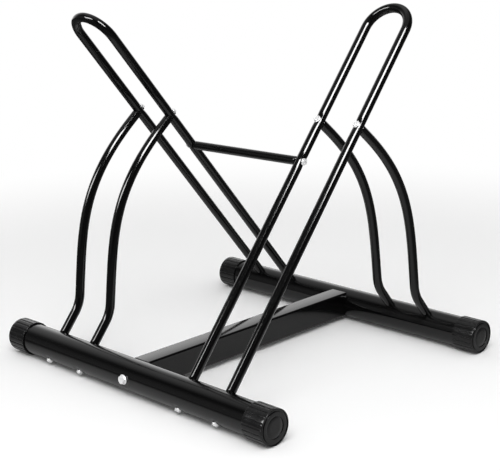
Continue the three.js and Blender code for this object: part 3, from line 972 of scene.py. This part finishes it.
class RACK_OT_end_caps(bpy.types.Operator):
    """Make the four ribbed end caps"""

    bl_idname = "rack.end_caps"
    bl_label = "End caps"

    def blank(self, caps, gap):
        """The turned blank: mouth at 0, closed end at the cap's length."""
        rib_end = CAP_LENGTH - caps.rim_length
        rim = CAP_RADIUS - caps.rim_step
        bore = BASE_RADIUS + gap
        chamfer = caps.mouth_chamfer
        edge = caps.rim_round
        soft = 0.3 * MM
        land_rings = 10
        inner_end = CAP_LENGTH - caps.end_thickness
        low = CAP_LENGTH - caps.channel_depth
        disc = CAP_LENGTH - caps.disc_depth
        profile = [(0, inner_end), (bore, inner_end)]
        profile += [(bore, 0.5 * MM), (bore + soft, 0), (CAP_RADIUS - chamfer, 0)]
        profile += arc((CAP_RADIUS - chamfer, chamfer), chamfer, -60, 0, 4)
        land = rib_end - chamfer - 2 * soft
        profile += [(CAP_RADIUS, chamfer + land * i / land_rings) for i in range(1, land_rings + 1)]
        profile += [(rim, rib_end)]
        profile += arc((rim - edge, CAP_LENGTH - edge), edge, 0, 90, 8)
        profile += arc((caps.channel_outer + soft, CAP_LENGTH - soft), soft, 90, 180, 4)
        profile += [(caps.channel_outer, low), (caps.channel_inner, low)]
        profile += arc((caps.channel_inner - soft, CAP_LENGTH - soft), soft, 0, 90, 4)
        profile += arc((caps.disc_radius + soft, CAP_LENGTH - soft), soft, 90, 180, 4)
        profile += [(caps.disc_radius, disc - soft), (caps.disc_radius - 3 * soft, disc - soft)]
        profile += [(caps.disc_radius - 5 * soft, disc), (caps.disc_radius * 0.5, disc), (0, disc)]
        groove_share = caps.groove_width * caps.rib_count / (2 * math.pi * CAP_RADIUS)
        return turned("cap", profile, rib_angles(caps.rib_count, 6, 10, groove_share)), rib_end

    def execute(self, context):
        caps = context.scene.rack_caps
        tree = bpy.data.node_groups.get("Ribs") or rib_tree()
        # The cap's own X, where a rib's middle lies, points down, and its axis points outwards.
        mouth = FRONT_AXIS + X * CAP_MOUTH_X
        right_end = Matrix.Translation(mouth) @ Matrix.Rotation(math.pi / 2, 4, "Y")
        across = Matrix.Translation(FRONT_AXIS) @ HALF_TURN @ Matrix.Translation(-FRONT_AXIS)
        ends = (
            ("front_right", right_end), ("front_left", across @ right_end),
            ("rear_left", HALF_TURN @ right_end), ("rear_right", HALF_TURN @ across @ right_end),
        )
        for corner, place in ends:
            blank, rib_end = self.blank(caps, context.scene.rack_tubes.gap)
            values = {
                "Ribs": caps.rib_count, "Groove Width": caps.groove_width,
                "Groove Depth": caps.groove_depth, "End": rib_end,
            }
            mesh = grown(linked("blank", blank), tree, values)
            finish_piece(
                f"{corner}_end_cap_fine", mesh, place, finish_named("Satin black plastic"),
                [f"{corner}_end_cap"], sharp=math.radians(50),
            )
        return {"FINISHED"}


def bolt_mesh(head_width, head_height, flange_radius, flange, shank_radius, shank_length):
    """A flanged hexagon bolt: the flange's underside at 0, the head below, the shank up Z."""
    angles = even_angles(72)
    flat = head_width / 2
    corner = flat / math.cos(math.pi / 6)
    crown = flat * 0.94
    top = -head_height
    sunk_top = top + 0.12 * MM
    chamfer_slope = math.tan(math.radians(28))
    round_edge = flange * 0.3

    def hexagon(angle):
        """The hexagon's radius at an angle."""
        return flat / math.cos((angle + math.pi / 6) % (math.pi / 3) - math.pi / 6)

    def along_hexagon(spread, height):
        """A ring that follows the hexagon, with its height from its radius there."""
        return [ring_about_z(hexagon(a) + spread, height(hexagon(a)), [a])[0] for a in angles]

    def rounds(*profile):
        """Round rings from (radius, along) pairs."""
        return [ring_about_z(radius, along, angles) for radius, along in profile]

    rings = rounds((0, sunk_top), (crown * 0.82, sunk_top), (crown * 0.9, top), (crown, top))
    rings += [
        along_hexagon(0, lambda radius: top + (radius - crown) * chamfer_slope),
        along_hexagon(0, lambda radius: -flange - 0.3 * MM),
        along_hexagon(0.15 * MM, lambda radius: -flange - 0.05 * MM),
    ]
    rings += rounds(
        (corner * 1.03, -flange),
        (flange_radius - round_edge * 0.7, -round_edge * 2),
        (flange_radius, -round_edge * 1.2),
        (flange_radius, -round_edge * 0.6),
        (flange_radius - round_edge, 0),
        (shank_radius + 0.2 * MM, 0),
        (shank_radius, 0.2 * MM),
        (shank_radius, shank_length - shank_radius * 0.25),
        (shank_radius * 0.75, shank_length),
        (0, shank_length),
    )
    return skinned("bolt", rings)


def bolt_tree():
    """Puts a bolt at each point, along the point's aim, with a turn of its own."""
    net, given = geometry_tree("Bolts", {"Seed": 4}, [("Bolt", "NodeSocketObject")])
    aim = net.value("GeometryNodeInputNamedAttribute", "Attribute", {"Name": "aim"}, data_type="FLOAT_VECTOR")
    facing = net.value("FunctionNodeAlignRotationToVector", "Rotation", {"Vector": aim}, axis="Z")
    span = {"Min": 0.0, "Max": 2 * math.pi, "Seed": given["Seed"]}
    spin = net.value("FunctionNodeRandomValue", 1, span, data_type="FLOAT")
    turn = net.value("FunctionNodeAxisAngleToRotation", "Rotation", {"Axis": (0, 0, 1), "Angle": spin})
    both = {"Rotation": facing, "Rotate By": turn}
    rotation = net.value("FunctionNodeRotateRotation", "Rotation", both, rotation_space="LOCAL")
    bolt = net.node("GeometryNodeObjectInfo", {"Object": given["Bolt"]}, transform_space="ORIGINAL")
    placed = net.node(
        "GeometryNodeInstanceOnPoints",
        {"Points": given["Geometry"], "Instance": bolt.outputs["Geometry"], "Rotation": rotation},
    )
    return close_tree(net, placed.outputs[0], given["Material"])


def place_bolts(name, template, seats, seed, nodes):
    """All bolts of one kind as one piece."""
    tree = bpy.data.node_groups.get("Bolts") or bolt_tree()
    bolt = linked("bolt_template", template)
    host = point_cloud(name, [seat for seat, _ in seats], [aim for _, aim in seats])
    mesh = grown(host, tree, {"Bolt": bolt, "Seed": seed})
    bpy.data.objects.remove(bolt)
    finish_piece(
        name, mesh, Matrix.Identity(4), finish_named("Bright zinc"), nodes, sharp=math.radians(32),
    )


class RACK_OT_bolts(bpy.types.Operator):
    """Make the flanged bolts that hold the rack together"""

    bl_idname = "rack.bolts"
    bl_label = "Bolts"

    def small_seats(self, tubes):
        """Each joint's name, where its bolt's flange sits and where the bolt points, in the front half."""
        _, back = leg_directions(tubes)
        thin_seat = LEG_RADIUS - tubes.dent_depth + tubes.gap
        seats = foot_seats(tubes)
        for side, x in (("inner", INNER_X), ("outer", OUTER_X)):
            joint = on_front_line(tubes, x, tubes.support_station)
            seats[f"{side}_support_top"] = (joint - back * thin_seat, back)
        start, inward = crossbar_line(tubes)
        seats["crossbar"] = (start - inward * thin_seat, inward)
        return seats

    def execute(self, context):
        tubes, bolts = context.scene.rack_tubes, context.scene.rack_bolts
        seats = self.small_seats(tubes)
        reaches = {"foot": bolts.foot_reach, "top": bolts.thin_reach, "crossbar": bolts.thin_reach}
        for kind, reach in reaches.items():
            chosen = {joint: seat for joint, seat in seats.items() if joint.endswith(kind)}
            template = bolt_mesh(
                bolts.small_head_width, bolts.small_head_height, SMALL_FLANGE_RADIUS, bolts.small_flange,
                bolts.small_shank, reach,
            )
            placed = [
                (turn @ point, turn.to_3x3() @ aim) for _, turn in HALVES for point, aim in chosen.values()
            ]
            nodes = [f"{half}_{joint}_bolt" for half, _ in HALVES for joint in chosen]
            place_bolts(f"{kind}_bolts_fine", template, placed, bolts.spin_seed, nodes)

        bar_seat = BASE_RADIUS - tubes.base_dent + tubes.gap
        centre = Vector((0, FRONT_AXIS.y - bar_seat, BAR_CENTRE.z))
        template = bolt_mesh(
            bolts.bar_head_width, bolts.bar_head_height, BAR_FLANGE_RADIUS, bolts.bar_flange,
            bolts.bar_shank, bolts.bar_reach,
        )
        placed = [(turn @ centre, turn.to_3x3() @ Y) for _, turn in HALVES]
        place_bolts(
            "bar_bolts_fine", template, placed, bolts.spin_seed, [f"{half}_bar_bolt" for half, _ in HALVES],
        )
        return {"FINISHED"}


class RACK_OT_hidden_plugs(bpy.types.Operator):
    """Finish the plugs and nut plates that sit inside the tubes"""

    bl_idname = "rack.hidden_plugs"
    bl_label = "Hidden plugs"

    def execute(self, context):
        for name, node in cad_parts.items():
            if name.endswith(("_plug", "_nut_plate")):
                node.data.materials.clear()
                node.data.materials.append(finish_named("Plain steel"))
        return {"FINISHED"}


# ---------------- operator: the stage


def floor_material(stage):
    """Pale floor that fades to plain white away from the rack and keeps its shadow."""
    material, net, place = new_material("Pale floor")
    x, y, _ = net.split(place)
    distance = (x * x + y * y).math("SQRT")
    away = distance.step_up(0.7, 1.6)
    # The camera sees the floor whiter than the light that it throws back on the rack. In the tubes' gloss the
    # floor carries a painted pool of light with painted shade round it: pale near the rack, dark a little way
    # from it.
    rays = net.node("ShaderNodeLightPath", {})
    gloss = mixed(net, (0.85,) * 3, (0.12,) * 3, distance.step_up(0.3, 0.65))
    lit = mixed(net, tuple(stage.floor), gloss, rays.outputs["Is Glossy Ray"])
    shade = mixed(net, lit, tuple(stage.floor_seen), rays.outputs["Is Camera Ray"])
    near = net.node("ShaderNodeBsdfDiffuse", {"Color": shade})
    white = net.node("ShaderNodeEmission", {"Color": (1, 1, 1, 1), "Strength": 1.0})
    far = away * (1 - Term(net, rays.outputs["Is Glossy Ray"]))
    seen = net.node("ShaderNodeMixShader", {0: far, 1: near.outputs[0], 2: white.outputs[0]})
    net.node("ShaderNodeOutputMaterial", {"Surface": seen.outputs[0]})
    return material


def on_dome(azimuth, elevation):
    """The direction from the rack to a place on the studio's dome, both angles in degrees."""
    a, e = math.radians(azimuth), math.radians(elevation)
    return Vector((math.cos(a) * math.cos(e), math.sin(a) * math.cos(e), math.sin(e)))


def studio_world(stage):
    """White behind the rack for the camera, an even soft light, and a studio for the reflections."""
    world = bpy.data.worlds.new("Studio")
    bpy.context.scene.world = world
    world.use_nodes = True
    world.node_tree.nodes.clear()
    net = Net(world.node_tree)
    direction = net.node("ShaderNodeTexCoord", {}).outputs["Generated"]

    def towards(azimuth, elevation):
        """How closely a ray points to a place on the studio's dome, as a cosine."""
        return net.vector("DOT_PRODUCT", direction, on_dome(azimuth, elevation))

    # White paper stands low behind the rack, with a grey wall on the left and a grey ceiling.
    height = net.split(direction)[2]
    paper = towards(140, 0).step_up(0.5, 0.85) * (1 - height.step_up(0.3, 0.6))
    above = towards(155, 50).step_up(0.75, 0.98)
    wall = towards(170, 10).step_up(0.7, 0.95) + towards(-115, 5).step_up(0.75, 0.95) * 0.5
    ceiling = height.step_up(0.75, 0.9)
    glow = paper * stage.paper_glow + (above + wall + ceiling) * stage.wall_glow + 0.04
    rays = net.node("ShaderNodeLightPath", {}).outputs
    white, soft, mirror = (
        net.node("ShaderNodeBackground", {"Color": (1, 1, 1, 1), "Strength": strength}).outputs[0]
        for strength in (1.0, stage.ambient, glow)
    )
    lit = net.node("ShaderNodeMixShader", {0: rays["Is Glossy Ray"], 1: soft, 2: mirror}).outputs[0]
    seen = net.node("ShaderNodeMixShader", {0: rays["Is Camera Ray"], 1: lit, 2: white})
    net.node("ShaderNodeOutputWorld", {"Surface": seen.outputs[0]})


# The two tall softboxes in the tubes' gloss: azimuth, elevation and lean in degrees, then width and
# height in metres.
SOFTBOXES = {"key": (-24, 47, 43, 0.85, 2.2), "fill": (-104, 33, -54, 0.9, 2.4)}
SOFTBOX_DISTANCE = 4
SOFTBOX_AIM = Z * 0.3
TOP_LAMP_PLACE = Vector((1.2, -1.4, 2.4))
TOP_LAMP_SIDE = 2


def area_lamp(name, place, target, width, height, power, lean=0):
    """A rectangular soft lamp that faces the target, leaning in its own plane by that many degrees."""
    data = bpy.data.lights.new(name, "AREA")
    data.shape = "RECTANGLE"
    data.size, data.size_y = width, height
    data.energy = power
    lamp = linked(name, data)
    lamp.location = place
    facing = (target - place).to_track_quat("-Z", "Y").to_matrix()
    lamp.rotation_euler = (facing @ Matrix.Rotation(math.radians(lean), 3, "Z")).to_euler()
    return lamp


class RACK_OT_stage(bpy.types.Operator):
    """Set up the camera, the floor and the soft light"""

    bl_idname = "rack.stage"
    bl_label = "Stage"

    def camera(self, stage):
        camera = linked("camera", bpy.data.cameras.new("camera"))
        camera.data.lens = stage.lens
        camera.data.sensor_width = 36
        camera.data.clip_start, camera.data.clip_end = 0.01, 100
        place = Vector(stage.camera_place)
        facing = (Vector(stage.camera_target) - place).to_track_quat("-Z", "Y").to_matrix().to_4x4()
        roll = Matrix.Rotation(stage.camera_roll, 4, "Z")
        camera.matrix_world = Matrix.Translation(place) @ facing @ roll
        bpy.context.scene.camera = camera

    def execute(self, context):
        stage = context.scene.rack_stage
        context.scene.view_settings.view_transform = "Standard"
        self.camera(stage)
        floor_mesh = turned("floor", [(0, 0), (stage.floor_radius, 0)], even_angles(64))
        floor_mesh.materials.append(floor_material(stage))
        floor = linked("floor", floor_mesh)
        studio_world(stage)
        for name, glow in (("key", stage.key_glow), ("fill", stage.fill_glow)):
            azimuth, elevation, lean, width, height = SOFTBOXES[name]
            place = on_dome(azimuth, elevation) * SOFTBOX_DISTANCE + SOFTBOX_AIM
            lamp = area_lamp(name, place, SOFTBOX_AIM, width, height, glow * math.pi * width * height, lean)
            lamp.visible_diffuse = False
        top = area_lamp("top", TOP_LAMP_PLACE, Vector(), TOP_LAMP_SIDE, TOP_LAMP_SIDE, stage.top_power)
        top.visible_glossy = False
        return {"FINISHED"}


# ---------------- panel and registration


PIECES = (
    RACK_OT_stage,
    RACK_OT_base_tubes,
    RACK_OT_connecting_bar,
    RACK_OT_hoops,
    RACK_OT_supports,
    RACK_OT_crossbar,
    RACK_OT_end_caps,
    RACK_OT_bolts,
    RACK_OT_hidden_plugs,
)


class RACK_PT_pieces(bpy.types.Panel):
    """The rack's sizes, finishes and pieces"""

    bl_idname = "RACK_PT_pieces"
    bl_label = "Floor bike rack"
    bl_space_type = "VIEW_3D"
    bl_region_type = "UI"
    bl_category = "Rack"

    def draw(self, context):
        for settings in SETTINGS:
            box = self.layout.box()
            group = getattr(context.scene, settings)
            for name in group.__annotations__:
                box.prop(group, name)
        for piece in PIECES:
            self.layout.operator(piece.bl_idname)


CLASSES = (*SETTINGS.values(), *PIECES, RACK_PT_pieces)


def register():
    for item in CLASSES:
        bpy.utils.register_class(item)
    for name, group in SETTINGS.items():
        setattr(bpy.types.Scene, name, PointerProperty(type=group))


def unregister():
    for name in SETTINGS:
        delattr(bpy.types.Scene, name)
    for item in reversed(CLASSES):
        bpy.utils.unregister_class(item)


def main():
    register()
    for piece in PIECES:
        group, name = piece.bl_idname.split(".")
        getattr(getattr(bpy.ops, group), name)()


if __name__ == "__main__":
    main()
